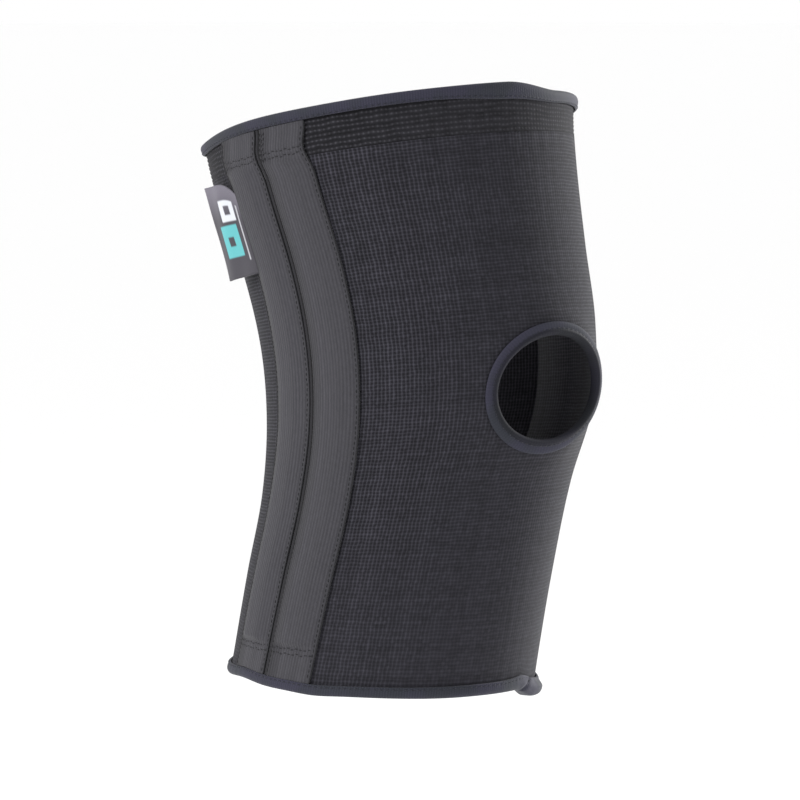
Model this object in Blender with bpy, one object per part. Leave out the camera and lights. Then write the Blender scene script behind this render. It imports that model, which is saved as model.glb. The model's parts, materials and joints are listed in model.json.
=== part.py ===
"""Elastic knee brace: a knitted sleeve with an open patella, four tape channels that each hold a flat
spiral stay, and bound hems. Metres, +Z up, the wearer faces -Y, the label side is -X. The origin is the
middle of the knee. The brace stands as worn, a little bent.
"""
import math

import bmesh
import bpy
from mathutils import Vector

# The leg form. Each station is the height of a cross-section's middle, how far back that middle lies,
# and the section's mean radius.
STATIONS = (
    (-0.123, 0.0265, 0.0615),
    (-0.080, 0.0165, 0.0615),
    (-0.045, 0.0070, 0.0620),
    (-0.015, -0.0005, 0.0655),
    (0.015, 0.0005, 0.0670),
    (0.045, 0.0080, 0.0685),
    (0.075, 0.0175, 0.0720),
    (0.088, 0.0208, 0.0734),
    (0.103, 0.0230, 0.0750),
)
BOTTOM, TOP = STATIONS[0][0], STATIONS[-1][0]
SECTION_TILTS = ((BOTTOM, -2.0), (0.0, 6.0), (TOP, 11.0))   # degrees, front edge up
FLATTENING = 0.018          # how much narrower than its mean, and deeper, a section is
KNEECAP_BULGE = 0.0015      # how far the kneecap pushes the front out
KNEECAP_REACH = 0.030       # over what distance it does

# The knit
KNIT_THICKNESS = 0.0016
RIB_BAND_HEIGHT = 0.0162
RIB_BAND_THICKNESS = 0.0019
GAP = 0.0003                # between pieces that touch

PANEL_COLUMNS = {"front": 28, "rear": 24}   # facets round a panel, which is half the leg
STRETCH_ROWS = {"thigh": 6, "knee": 8, "calf": 4}    # rows of facets up a panel's stretch
OPENING_ROWS = 14           # rows of facets where the patella opening is cut
EDGE_ROUNDS = 12            # rounds of settling a point between edges that depend on each other

# The bindings: folded tape over a knit edge
HEM_HEIGHT = 0.0052
BINDING_WALL = 0.0013
BINDING_LIP = BINDING_WALL * 0.45   # bevel along the binding's open edge
BINDING_FOLD = BINDING_WALL * 0.70  # bevel along its fold
PATELLA_MIDDLE = -0.0080    # height of the section at the opening's middle
PATELLA_SIDE = 0.0010       # how far the opening's middle lies towards the label side
PATELLA_HALF_WIDTH = 0.0260
PATELLA_HALF_HEIGHT = 0.0190
PATELLA_BINDING_WIDTH = 0.0055
OPENING_CUT = 0.0120        # how far the opening's cutter reaches in and out
HEM_STEPS = 52
OPENING_STEPS = 40

# The channels and the stays
SEAM_LINE = ((BOTTOM, 0.535), (0.0, 0.505), (TOP, 0.500))   # turns at which two tapes meet
TAPE_WIDTH = 0.0240
TAPE_THICKNESS = 0.0009
TAPE_PITCH = 0.0248         # from one tape's middle to the next
TAPE_END_BOTTOM = BOTTOM + 0.0060
TAPE_END_TOP = TOP - 0.0056
POCKET_HEIGHT = 0.0022      # from the knit to the tape's underside, over a stay
POCKET_FLAT = 0.0037        # half the width over which the pocket has that height
POCKET_FOOT = 0.0066        # half the width at which the tape is down on the knit
POCKET_RUNOUT = 0.0027      # over what height the pocket closes beyond its ends
STAY_WIDTH = 0.0064
STAY_THICKNESS = 0.0013
STAY_MIDDLE = 0.0011        # height of a stay's middle over the knit
STAY_ENDS = (-0.1015, 0.0820)
POCKET_ENDS = (STAY_ENDS[0] - 0.0015, STAY_ENDS[1] + 0.0015)
STAY_TONGUE = 0.0060        # length of the thinned end that a cap grips
STAY_SHOULDER = 0.0012      # length over which it thins
STAY_ROWS = 12
SECTION_BEVEL = 0.3         # bevel of a stay's or cap's section, as a share of its thickness
TONGUE_WIDTH = 0.0050
TONGUE_THICKNESS = 0.0007
CAP_LENGTH = 0.0075
CAP_WIDTH = 0.0064
CAP_THICKNESS = 0.0017
CAP_BASE = 0.0010           # solid end of a cap, past the stay's tip
CAP_FOOT_WIDTH = CAP_WIDTH * 0.85
CAP_FOOT_THICKNESS = CAP_THICKNESS * 0.7
CAP_FOOT_RUN = CAP_BASE * 0.6       # length over which a cap widens from its foot
CAP_CLEARANCE = 0.00015
THREAD_RADIUS = 0.00025
STITCH_ROW_INSET = 0.0082   # from a tape's end to the nearer row of cross stitches
STITCH_ROW_PITCH = 0.0021
STITCHES_PER_ROW = 9
STITCH_SWING = STITCH_ROW_PITCH * 0.32      # how far the thread swings to each side of its row
STITCH_MARGIN = 0.0020      # from a row's end to the tape's edge
THREAD_CORNER = THREAD_RADIUS * 1.4         # from the thread's middle to a corner of its section
TAPE_ROWS = {"thigh": 5, "knee": 9, "calf": 5}

# Where the sleeve bends: between the thigh's pieces and the calf's pieces, as front, side and back heights
THIGH_EDGE = (-0.0360, 0.0460, 0.0720)
CALF_EDGE = (-0.0860, -0.0620, -0.0660)
FRONT_HOLD = 0.12           # the turn up to which an edge keeps its front height
KNEE_AXIS = (0.0, 0.0120, 0.0)      # a point on the axis, which runs along X

# The label
LABEL_WIDTH = 0.0175
LABEL_LOW, LABEL_HIGH = 0.0450, 0.0812
LABEL_THICKNESS = 0.0010    # two layers, folded
LABEL_LIFT = 20.0           # degrees that it stands off the knit
LABEL_COLUMNS, LABEL_ROWS = 4, 6

TURN_STEP = 0.0005          # small steps for reading a direction along the knit
HEIGHT_STEP = 0.0005


def along(points, at):
    """A smooth curve through (position, value) points, read at one position."""
    xs = [point[0] for point in points]
    ys = [point[1] for point in points]
    rises = [(ys[i + 1] - ys[i]) / (xs[i + 1] - xs[i]) for i in range(len(xs) - 1)]
    slopes = [0.0] * len(xs)
    for i in range(1, len(xs) - 1):
        before, after = xs[i] - xs[i - 1], xs[i + 1] - xs[i]
        slopes[i] = (rises[i - 1] * after + rises[i] * before) / (before + after)
    slopes[0] = 1.5 * rises[0] - 0.5 * slopes[1]
    slopes[-1] = 1.5 * rises[-1] - 0.5 * slopes[-2]
    i = max(0, min(len(xs) - 2, sum(1 for x in xs if x < at) - 1))
    width = xs[i + 1] - xs[i]
    t = (at - xs[i]) / width
    return (
        (2 * t**3 - 3 * t**2 + 1) * ys[i]
        + (t**3 - 2 * t**2 + t) * width * slopes[i]
        + (3 * t**2 - 2 * t**3) * ys[i + 1]
        + (t**3 - t**2) * width * slopes[i + 1]
    )


def radius_at(height):
    return along([(z, radius) for z, _, radius in STATIONS], height)


def on_leg(turn, height, out=0.0):
    """The point at a turn (0 front, 0.5 label side, 1 back, -0.5 far side) and a section's height,
    that far outside the knit's outer face."""
    angle = math.pi * turn
    radius = radius_at(height)
    back = along([(z, y) for z, y, _ in STATIONS], height)
    tilt = math.radians(along(SECTION_TILTS, height))
    away = math.hypot(radius * angle, height - PATELLA_MIDDLE)
    bulge = KNEECAP_BULGE * math.exp(-((away / KNEECAP_REACH) ** 2))
    side = (radius * (1 - FLATTENING) + out) * math.sin(angle)
    fore = (radius * (1 + FLATTENING) + out + bulge) * math.cos(angle)
    return Vector((-side, back - fore * math.cos(tilt), height + fore * math.sin(tilt)))


def leg_normal(turn, height):
    around = on_leg(turn + TURN_STEP, height) - on_leg(turn - TURN_STEP, height)
    upward = on_leg(turn, height + HEIGHT_STEP) - on_leg(turn, height - HEIGHT_STEP)
    return upward.cross(around).normalized()


def material(name, colour, roughness, metallic=0.0):
    made = bpy.data.materials.get(name)
    if made is None:
        made = bpy.data.materials.new(name)
        made.use_nodes = True
        shader = made.node_tree.nodes["Principled BSDF"]
        shader.inputs["Base Color"].default_value = (*colour, 1.0)
        shader.inputs["Roughness"].default_value = roughness
        shader.inputs["Metallic"].default_value = metallic
    return made


def knit_material():
    return material("knit", (0.034, 0.033, 0.040), 0.85)


def rib_material():
    return material("rib_knit", (0.028, 0.027, 0.034), 0.85)


def tape_material():
    return material("tape", (0.085, 0.083, 0.094), 0.75)


def binding_material():
    return material("binding", (0.030, 0.036, 0.050), 0.70)


def steel_material():
    return material("stay_steel", (0.55, 0.56, 0.58), 0.30, 1.0)


def thread_material():
    return material("thread", (0.045, 0.045, 0.052), 0.60)


def label_material():
    return material("label", (0.12, 0.12, 0.13), 0.65)


def build(name, bm, surface, origin=None, smooth_degrees=40):
    """Close the mesh's normals outward and make it a named object, its origin where its joint needs it."""
    bmesh.ops.remove_doubles(bm, verts=bm.verts, dist=1e-7)
    bmesh.ops.recalc_face_normals(bm, faces=bm.faces)
    place = Vector(origin) if origin else Vector((0.0, 0.0, 0.0))
    bmesh.ops.translate(bm, verts=bm.verts, vec=-place)
    mesh = bpy.data.meshes.new(name)
    bm.to_mesh(mesh)
    bm.free()
    mesh.shade_smooth()
    mesh.set_sharp_from_angle(angle=math.radians(smooth_degrees))
    mesh.materials.append(surface)
    made = bpy.data.objects.new(name, mesh)
    made.location = place
    bpy.context.scene.collection.objects.link(made)
    return made


def edge_height(heights, turn):
    """Height of a bending edge at a turn, eased between its front, side and back values."""
    front, side, rear = heights
    turn = min(1.0, abs(turn))
    if turn < FRONT_HOLD:
        return front
    if turn < 0.5:
        ease = (turn - FRONT_HOLD) / (0.5 - FRONT_HOLD)
        return front + (side - front) * (1 - math.cos(math.pi * ease)) / 2
    return side + (rear - side) * (1 - math.cos(math.pi * (2 * turn - 1))) / 2


def seam_turn(height):
    return along(SEAM_LINE, height)


def turn_of(distance, height):
    """An arc length along the knit as a part of half a turn."""
    return distance / (math.pi * radius_at(height))


def quad_strip(bm, first, second, closed):
    last = len(first) if closed else len(first) - 1
    for i in range(last):
        j = (i + 1) % len(first)
        bm.faces.new((first[i], first[j], second[j], second[i]))


def slab(outer, inner):
    """A closed sheet between two equal grids of points."""
    bm = bmesh.new()
    outer = [[bm.verts.new(point) for point in row] for row in outer]
    inner = [[bm.verts.new(point) for point in row] for row in inner]
    for grid in (outer, inner):
        for first, second in zip(grid, grid[1:]):
            quad_strip(bm, first, second, closed=False)
    quad_strip(bm, outer[0], inner[0], closed=False)
    quad_strip(bm, outer[-1], inner[-1], closed=False)
    for side in (0, -1):
        quad_strip(bm, [row[side] for row in outer], [row[side] for row in inner], closed=False)
    return bm


def loft(loops, closed=False):
    """A closed body through loops of points, joined end to end or capped."""
    bm = bmesh.new()
    rings = [[bm.verts.new(point) for point in loop] for loop in loops]
    pairs = list(zip(rings, rings[1:]))
    if closed:
        pairs.append((rings[-1], rings[0]))
    for first, second in pairs:
        quad_strip(bm, first, second, closed=True)
    if not closed:
        bm.faces.new(rings[0])
        bm.faces.new(list(reversed(rings[-1])))
    return bm


def knit_patch(name, turns, heights, columns, rows, thickness, surface, origin=None):
    """A stretch of knit between two turns and two heights, which may each depend on the other."""
    outer, inner = [], []
    for row in range(rows + 1):
        outer.append([])
        inner.append([])
        for column in range(columns + 1):
            turn, height = 0.0, 0.0
            for _ in range(EDGE_ROUNDS):
                left, right = turns(height)
                turn = left + (right - left) * column / columns
                low, high = heights(turn)
                height = low + (high - low) * row / rows
            outer[-1].append(on_leg(turn, height))
            inner[-1].append(on_leg(turn, height, -thickness))
    return build(name, slab(outer, inner), surface, origin)


def front_turns(height):
    reach = seam_turn(height) - turn_of(GAP / 2, height)
    return -reach, reach


def rear_turns(height):
    reach = seam_turn(height) + turn_of(GAP / 2, height)
    return reach, 2.0 - reach


def rear_turn(turn):
    """A turn that runs on past the back, as the same place's turn from the front."""
    return turn if turn <= 1.0 else turn - 2.0


def knit_panels():
    """Front and rear panels, each with a thigh stretch, a bending stretch and a calf stretch."""
    band_low = TOP - BINDING_WALL - GAP - RIB_BAND_HEIGHT
    calf_low = BOTTOM + BINDING_WALL + GAP
    stretches = (
        ("thigh", lambda t: (edge_height(THIGH_EDGE, rear_turn(t)) + GAP / 2, band_low - GAP), None),
        (
            "knee",
            lambda t: (
                edge_height(CALF_EDGE, rear_turn(t)) + GAP / 2,
                edge_height(THIGH_EDGE, rear_turn(t)) - GAP / 2,
            ),
            None,
        ),
        ("calf", lambda t: (calf_low, edge_height(CALF_EDGE, rear_turn(t)) - GAP / 2), KNEE_AXIS),
    )
    for part, heights, origin in stretches:
        for side, turns in (("front", front_turns), ("rear", rear_turns)):
            name = f"knit_{side}_{part}"
            rows = OPENING_ROWS if name == "knit_front_thigh" else STRETCH_ROWS[part]
            columns = PANEL_COLUMNS[side]
            knit_patch(name, turns, heights, columns, rows, KNIT_THICKNESS, knit_material(), origin)
    for side, turns in (("front", front_turns), ("rear", rear_turns)):
        knit_patch(
            f"rib_band_{side}",
            turns,
            lambda t: (band_low, band_low + RIB_BAND_HEIGHT),
            PANEL_COLUMNS[side],
            1,
            RIB_BAND_THICKNESS,
            rib_material(),
        )


def around_opening(angle, spread, out):
    """A point beside the patella opening: spread is how far outside the opening's edge it lies."""
    height = PATELLA_MIDDLE + (PATELLA_HALF_HEIGHT + spread) * math.sin(angle)
    turn = turn_of(PATELLA_SIDE + (PATELLA_HALF_WIDTH + spread) * math.cos(angle), height)
    return on_leg(turn, height, out)


def cut_patella_opening():
    spread = BINDING_WALL + GAP
    loops = [
        [around_opening(2 * math.pi * i / OPENING_STEPS, spread, out) for i in range(OPENING_STEPS)]
        for out in (OPENING_CUT, -OPENING_CUT)
    ]
    cutter = build("patella_cutter", loft(loops), binding_material())
    cutter.hide_render = True
    cutter.display_type = "WIRE"
    cut = bpy.data.objects["knit_front_thigh"].modifiers.new("patella_opening", "BOOLEAN")
    cut.operation = "DIFFERENCE"
    cut.solver = "EXACT"
    cut.object = cutter


def binding_profile(depth, knit_thickness):
    """Folded tape over a knit edge: (distance from the fold, height over the knit's outer face)."""
    outer = GAP + BINDING_WALL
    inner = -knit_thickness - GAP - BINDING_WALL
    return (
        (depth, GAP),
        (depth, outer - BINDING_LIP),
        (depth - BINDING_LIP, outer),
        (BINDING_FOLD, outer),
        (0.0, outer - BINDING_FOLD),
        (0.0, inner + BINDING_FOLD),
        (BINDING_FOLD, inner),
        (depth - BINDING_LIP, inner),
        (depth, inner + BINDING_LIP),
        (depth, -knit_thickness - GAP),
        (BINDING_WALL, -knit_thickness - GAP),
        (BINDING_WALL, GAP),
    )


def hem(name, edge, inward, knit_thickness, origin=None):
    profile = binding_profile(HEM_HEIGHT, knit_thickness)
    loops = [
        [on_leg(2 * i / HEM_STEPS - 1, edge + inward * depth, out) for depth, out in profile]
        for i in range(HEM_STEPS)
    ]
    build(name, loft(loops, closed=True), binding_material(), origin)


def bindings():
    hem("hem_top", TOP, -1, RIB_BAND_THICKNESS)
    hem("hem_bottom", BOTTOM, 1, KNIT_THICKNESS, KNEE_AXIS)
    profile = binding_profile(PATELLA_BINDING_WIDTH, KNIT_THICKNESS)
    loops = [
        [around_opening(2 * math.pi * i / OPENING_STEPS, spread, out) for spread, out in profile]
        for i in range(OPENING_STEPS)
    ]
    build("patella_binding", loft(loops, closed=True), binding_material())


def pocket_rise(height):
    """How open the pocket is at a height: 1 over the stay, 0 where the tape is flat on the knit."""
    low, high = POCKET_ENDS
    beyond = max(low - height, height - high, 0.0)
    ease = min(1.0, beyond / POCKET_RUNOUT)
    return 0.5 * (1 + math.cos(math.pi * ease))


def tape_underside(across, height):
    distance = abs(across)
    if distance >= POCKET_FOOT:
        crown = 0.0
    elif distance <= POCKET_FLAT:
        crown = 1.0
    else:
        crown = 0.5 * (1 + math.cos(math.pi * (distance - POCKET_FLAT) / (POCKET_FOOT - POCKET_FLAT)))
    return GAP + (POCKET_HEIGHT - GAP) * crown * pocket_rise(height)


def tape_middle(side, place, height):
    """The turn of a tape's middle line."""
    shift = -TAPE_PITCH / 2 if place == "front" else TAPE_PITCH / 2
    return side * (seam_turn(height) + turn_of(shift, height))


def on_tape(side, place, across, height, out):
    turn = tape_middle(side, place, height) + side * turn_of(across, height)
    return on_leg(turn, height, out)


def tape_rows(low, high, rows):
    """Even heights along a tape, with some where its pocket ends."""
    heights = {low + (high - low) * row / rows for row in range(rows + 1)}
    for end, outward in zip(POCKET_ENDS, (-1, 1)):
        heights.update(end + outward * POCKET_RUNOUT * part for part in (0.0, 0.5, 1.0))
    return sorted(height for height in heights if low <= height <= high)


def tape(name, side, place, low, high, rows, origin=None):
    half = TAPE_WIDTH / 2
    foot = [POCKET_FOOT, (POCKET_FOOT + POCKET_FLAT) / 2, POCKET_FLAT]
    columns = [-half, -(half + POCKET_FOOT) / 2, *(-c for c in foot), 0.0, *reversed(foot)]
    columns += [(half + POCKET_FOOT) / 2, half]
    outer, inner = [], []
    for height in tape_rows(low, high, rows):
        unders = [tape_underside(across, height) for across in columns]
        places = list(zip(columns, unders))
        inner.append([on_tape(side, place, across, height, under) for across, under in places])
        outer.append(
            [on_tape(side, place, across, height, under + TAPE_THICKNESS) for across, under in places]
        )
    build(name, slab(outer, inner), tape_material(), origin)


def flat_section(side, place, height, width, thickness, middle=STAY_MIDDLE):
    """An eight-cornered flat section of a stay or cap, across its channel."""
    bevel = thickness * SECTION_BEVEL
    w, t = width / 2, thickness / 2
    corners = (
        (w, -t + bevel), (w, t - bevel), (w - bevel, t), (bevel - w, t),
        (-w, t - bevel), (-w, bevel - t), (bevel - w, -t), (w - bevel, -t),
    )
    return [on_tape(side, place, across, height, middle + out) for across, out in corners]


def stay(name, side, place):
    low, high = STAY_ENDS
    full = (STAY_WIDTH, STAY_THICKNESS)
    tongue = (TONGUE_WIDTH, TONGUE_THICKNESS)
    start, end = low + STAY_TONGUE, high - STAY_TONGUE
    places = [(low, tongue), (start, tongue)]
    run = end - start - 2 * STAY_SHOULDER
    places += [(start + STAY_SHOULDER + run * i / STAY_ROWS, full) for i in range(STAY_ROWS + 1)]
    places += [(end, tongue), (high, tongue)]
    loops = [flat_section(side, place, height, *size) for height, size in places]
    build(name, loft(loops), steel_material())


def cap(name, side, place, tip, inward, origin=None):
    """A crimped cap over one end of a stay, with the pocket that the stay's tongue is in."""
    foot = tip - inward * CAP_BASE
    mouth = foot + inward * (CAP_LENGTH - 2 * CAP_BASE)
    bm = bmesh.new()

    def ring(height, width, thickness):
        section = flat_section(side, place, height, width, thickness)
        return [bm.verts.new(point) for point in section]

    inner_size = (TONGUE_WIDTH + 2 * CAP_CLEARANCE, TONGUE_THICKNESS + 2 * CAP_CLEARANCE)
    outer_foot = ring(foot, CAP_FOOT_WIDTH, CAP_FOOT_THICKNESS)
    outer_shoulder = ring(foot + inward * CAP_FOOT_RUN, CAP_WIDTH, CAP_THICKNESS)
    outer_mouth = ring(mouth, CAP_WIDTH, CAP_THICKNESS)
    inner_mouth = ring(mouth, *inner_size)
    inner_foot = ring(tip - inward * CAP_CLEARANCE, *inner_size)
    rings = (outer_foot, outer_shoulder, outer_mouth, inner_mouth, inner_foot)
    for first, second in zip(rings, rings[1:]):
        quad_strip(bm, first, second, closed=True)
    bm.faces.new(outer_foot)
    bm.faces.new(inner_foot)
    build(name, bm, steel_material(), origin)


def stitch_rows(name, side, place, end, inward, origin=None):
    """One thread that zigzags across a tape's end and back, closing the channel."""
    half = TAPE_WIDTH / 2 - STITCH_MARGIN
    steps = STITCHES_PER_ROW
    route = []
    for row in range(2):
        middle = end + inward * (STITCH_ROW_INSET + row * STITCH_ROW_PITCH)
        for i in range(steps + 1):
            step = i if row == 0 else steps - i
            across = -half + 2 * half * step / steps
            route.append((across, middle + STITCH_SWING * (-1) ** i))
    loops = []
    for i, (across, height) in enumerate(route):
        before = route[max(0, i - 1)]
        after = route[min(len(route) - 1, i + 1)]
        run = Vector((after[0] - before[0], after[1] - before[1])).normalized()
        out = tape_underside(across, height) + TAPE_THICKNESS + GAP / 2 + THREAD_RADIUS
        loop = []
        for corner in range(4):
            angle = math.pi * (corner + 0.5) / 2
            aside = THREAD_CORNER * math.cos(angle)
            above = THREAD_CORNER * math.sin(angle)
            loop.append(
                on_tape(side, place, across - run.y * aside, height + run.x * aside, out + above)
            )
        loops.append(loop)
    build(name, loft(loops), thread_material(), origin)


def channels():
    """On each side two tapes, each in three stretches, with its stay, caps and cross stitches."""
    thigh_low = edge_height(THIGH_EDGE, 0.5)
    calf_high = edge_height(CALF_EDGE, 0.5)
    for side_name, side in (("near", 1), ("far", -1)):
        for place in ("front", "rear"):
            label = f"{side_name}_{place}"
            for part, low, high, origin in (
                ("thigh", thigh_low + GAP / 2, TAPE_END_TOP, None),
                ("knee", calf_high + GAP / 2, thigh_low - GAP / 2, None),
                ("calf", TAPE_END_BOTTOM, calf_high - GAP / 2, KNEE_AXIS),
            ):
                tape(f"tape_{label}_{part}", side, place, low, high, TAPE_ROWS[part], origin)
            stay(f"stay_{label}", side, place)
            low, high = STAY_ENDS
            cap(f"cap_{label}_top", side, place, high, -1)
            cap(f"cap_{label}_bottom", side, place, low, 1, KNEE_AXIS)
            stitch_rows(f"stitches_{label}_top", side, place, TAPE_END_TOP, -1)
            stitch_rows(f"stitches_{label}_bottom", side, place, TAPE_END_BOTTOM, 1, KNEE_AXIS)


def side_label():
    """A folded label whose sewn edge lies along the rear edge of the near rear tape."""
    faces = ([], [])
    for row in range(LABEL_ROWS + 1):
        height = LABEL_LOW + (LABEL_HIGH - LABEL_LOW) * row / LABEL_ROWS
        turn = tape_middle(1, "rear", height) + turn_of(TAPE_WIDTH / 2 + LABEL_THICKNESS, height)
        start = on_leg(turn, height, GAP)
        normal = leg_normal(turn, height)
        backward = (on_leg(turn + TURN_STEP, height) - on_leg(turn, height)).normalized()
        lift = math.radians(LABEL_LIFT)
        away = backward * math.cos(lift) + normal * math.sin(lift)
        across = normal * math.cos(lift) - backward * math.sin(lift)
        for grid, layer in zip(faces, (0.0, LABEL_THICKNESS)):
            grid.append([
                start + away * (LABEL_WIDTH * i / LABEL_COLUMNS) + across * layer
                for i in range(LABEL_COLUMNS + 1)
            ])
    build("side_label", slab(faces[1], faces[0]), label_material())


def make_brace():
    for leftover in list(bpy.data.objects):
        bpy.data.objects.remove(leftover, do_unlink=True)
    knit_panels()
    bindings()
    cut_patella_opening()
    channels()
    side_label()


make_brace()
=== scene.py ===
"""Looks of the elastic knee brace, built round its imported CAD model. Metres, +Z up, the wearer faces -Y,
the label side is -X. Turns run from 0 at the front, over 0.5 on the label side, to 1 at the back.
"""
import json
import math

import bmesh
import bpy
import numpy as np
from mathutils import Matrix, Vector

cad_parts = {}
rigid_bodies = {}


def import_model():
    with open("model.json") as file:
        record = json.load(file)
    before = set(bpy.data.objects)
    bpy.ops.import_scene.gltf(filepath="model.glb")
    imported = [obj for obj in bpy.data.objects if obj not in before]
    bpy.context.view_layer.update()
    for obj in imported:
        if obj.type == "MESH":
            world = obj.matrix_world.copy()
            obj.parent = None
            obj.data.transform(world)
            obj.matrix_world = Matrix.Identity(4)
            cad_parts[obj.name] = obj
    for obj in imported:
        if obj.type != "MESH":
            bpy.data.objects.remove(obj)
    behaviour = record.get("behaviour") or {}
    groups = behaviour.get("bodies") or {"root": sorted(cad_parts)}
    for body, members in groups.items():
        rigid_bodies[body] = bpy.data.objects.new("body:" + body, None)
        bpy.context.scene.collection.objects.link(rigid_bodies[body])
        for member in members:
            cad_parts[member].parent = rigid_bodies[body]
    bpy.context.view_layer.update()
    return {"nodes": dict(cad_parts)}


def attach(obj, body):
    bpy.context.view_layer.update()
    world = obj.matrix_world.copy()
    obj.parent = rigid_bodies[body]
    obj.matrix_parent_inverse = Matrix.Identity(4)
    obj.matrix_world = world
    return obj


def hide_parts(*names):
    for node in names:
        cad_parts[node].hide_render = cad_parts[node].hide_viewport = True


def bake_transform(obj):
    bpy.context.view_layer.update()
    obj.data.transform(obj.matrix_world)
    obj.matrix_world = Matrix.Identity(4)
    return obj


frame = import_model()

THIGH, CALF = "thigh_section", "calf_section"

# The leg form, as the CAD has it: each station's height, how far back its middle lies, and its mean radius
STATIONS = np.array((
    (-0.123, 0.0265, 0.0615),
    (-0.080, 0.0165, 0.0615),
    (-0.045, 0.0070, 0.0620),
    (-0.015, -0.0005, 0.0655),
    (0.015, 0.0005, 0.0670),
    (0.045, 0.0080, 0.0685),
    (0.075, 0.0175, 0.0720),
    (0.088, 0.0208, 0.0734),
    (0.103, 0.0230, 0.0750),
))
BOTTOM, TOP = STATIONS[0, 0], STATIONS[-1, 0]
SECTION_TILTS = np.array(((BOTTOM, -2.0), (0.0, 6.0), (TOP, 11.0)))
SEAM_LINE = np.array(((BOTTOM, 0.535), (0.0, 0.505), (TOP, 0.500)))
FLATTENING = 0.018
KNEECAP_BULGE = 0.0015
KNEECAP_REACH = 0.030

# Knit
KNIT_THICKNESS = 0.0016
RIB_BAND_THICKNESS = 0.0019
RIB_BAND_HEIGHT = 0.0162
GAP = 0.0003
SEAM_GAP = 0.00005  # between two pieces of knit
WALES = 130  # columns of stitches round a panel, which is half the leg
COVERED_WALES = 12  # at each side of a panel, always under a tape
COURSE_HEIGHT = 0.00136  # on average: the knit is stretched longer towards its lower end
COURSE_STRETCH = 0.07
KNIT_RELIEF = 0.00016
KNIT_SWELL = 0.00018  # slow unevenness of the worn knit
PUCKER_RELIEF = 0.00006  # of the sewn ends
PUCKER_REACH = 0.006
PUCKER_WALES = 5.3
PINCH_DEPTH = 0.0003  # beside the tapes' stitched edges
PINCH_REACH = 0.0010
PORES_MIDDLE, PORES_LOW = 0.50, 0.62  # how strong the knit's pattern is there, as a share
WEAVE_MEAN = 0.36  # the pattern's mean level
RIB_WALES = 120
COVERED_RIB_WALES = 10
RIB_ROW_HEIGHT = 0.0019
RIB_RELIEF = 0.00034
RIB_SWELL = 0.0002

# Hem bindings
BINDING_WALL = 0.0013
HEM_DEPTH = 0.0044  # from its fold to its open edge
HEM_PROFILE_DEPTH = 0.0046
HEM_RIB = 0.00005
HEM_STEPS = 900
OUT_WAVE = (0.00018, 23, 14)  # unevenness: its size, its seed and the count of its waves
FOLD_WAVE = (0.00030, 27, 12)
DEPTH_WAVE = (0.00025, 21)
PULL_TURN, PULL_REACH = 0.040, 0.080  # where the upper hem is folded wider
PULL_DEPTH = 0.0017
HEM_JOINS = {"top": 0.98, "bottom": -0.14}  # the turns at which a hem's ends overlap
JOIN_DEPTH, JOIN_DEPTH_REACH = 0.0026, 0.07  # how much wider the lower hem is there
JOIN_LUMP, JOIN_LUMP_REACH = 0.0008, 0.045
JOIN_ROLL, JOIN_ROLL_SHIFT = 0.0021, -0.045  # the lower hem's end, rolled up beside its join
CREASE_DEPTH, CREASE_REACH = 0.0009, 0.006
CREASE_SHIFT, CREASE_SLANT = 0.030, 0.04
HEM_STITCH_PLACE = 0.84  # as a share of the hem's depth
HEM_STITCH_PITCH = 0.0024

# Patella opening and its binding
PATELLA_MIDDLE = -0.0080
PATELLA_SIDE = 0.0010  # how far the opening's middle lies towards the label side
PATELLA_HALF_WIDTH = 0.0260
PATELLA_HALF_HEIGHT = 0.0190
RING_LIFT_LEAST = 0.0004  # how far its binding stands up off the leg form
RING_LIFT_MORE = 0.0031
RING_LIFT_PLATEAU = 0.003  # the knit rises with it so far outside the opening,
RING_LIFT_REACH = 0.009  # and settles over this distance
RING_STEPS = 300
RING_RIB = 0.000025
RING_WOBBLE, RING_SPREAD_CHANGE = 0.00012, 0.05
RING_STITCHES = 72
RING_STITCH_SPREAD, RING_STITCH_OUT = 0.0026, 0.00132
CUTTER_REACH = (0.014, -0.012)  # of the tool that cuts the opening

# Channels
TAPE_WIDTH = 0.0233
TAPE_THICKNESS = 0.0009
TAPE_PITCH = 0.0239
TAPE_END_BOTTOM = BOTTOM + 0.0050
TAPE_END_TOP = TOP - 0.0046
TAPE_RIBS = 18
TAPE_RELIEF = 0.00003
TAPE_KINK = 0.0024  # how far back the tapes are sewn, near their upper end
TAPE_KINK_HEIGHT = TOP - 0.0145
TAPE_KINK_REACH = 0.006
TAPE_SEWN = 0.0152  # the finely divided stretch at each end of a tape
TAPE_FINE_ROW = 0.0004
TAPE_SWAY, TAPE_RIPPLE = 0.00015, 0.00008
POCKET_HEIGHT = 0.0022
POCKET_FLAT, POCKET_FOOT = 0.0034, 0.0108  # half the width of its flat top and of its foot
STAY_ENDS = (-0.1015, 0.0820)
POCKET_ENDS = (STAY_ENDS[0] - 0.0015, STAY_ENDS[1] + 0.0015)
POCKET_RUNOUT = 0.0030
STAY_WIDTH = 0.0064
STAY_THICKNESS = 0.0013
STAY_MIDDLE = 0.0011
STAY_TONGUE = 0.0060
WIRE_RADIUS = 0.00022
COIL_PITCH = 0.0020
COIL_POINTS = 14  # for each turn

# Stitching
THREAD_RADIUS = 0.00016
EDGE_STITCH_INSET = 0.0012
SEAM_STITCH_INSET = 0.0016  # on the front tape, beside the seam between two tapes
STITCH_PITCH = 0.0020
STITCH_LENGTH = 0.0015
STITCH_ROW_INSETS = (0.0095, 0.0116)  # from a tape's end
STITCH_SHAPE = np.array((0.0, 0.12, 0.35, 0.65, 0.88, 1.0))  # where a thread's points lie along it
STITCH_RISE = np.array((-0.9, 0.1, 0.75, 0.75, 0.1, -0.9))
STITCH_TAPER = np.array((0.55, 0.9, 1.0, 1.0, 0.9, 0.55))
THREAD_SIDES = 6
STITCH_COVER = 0.7  # how much of its pitch a stitch on a binding takes

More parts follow.
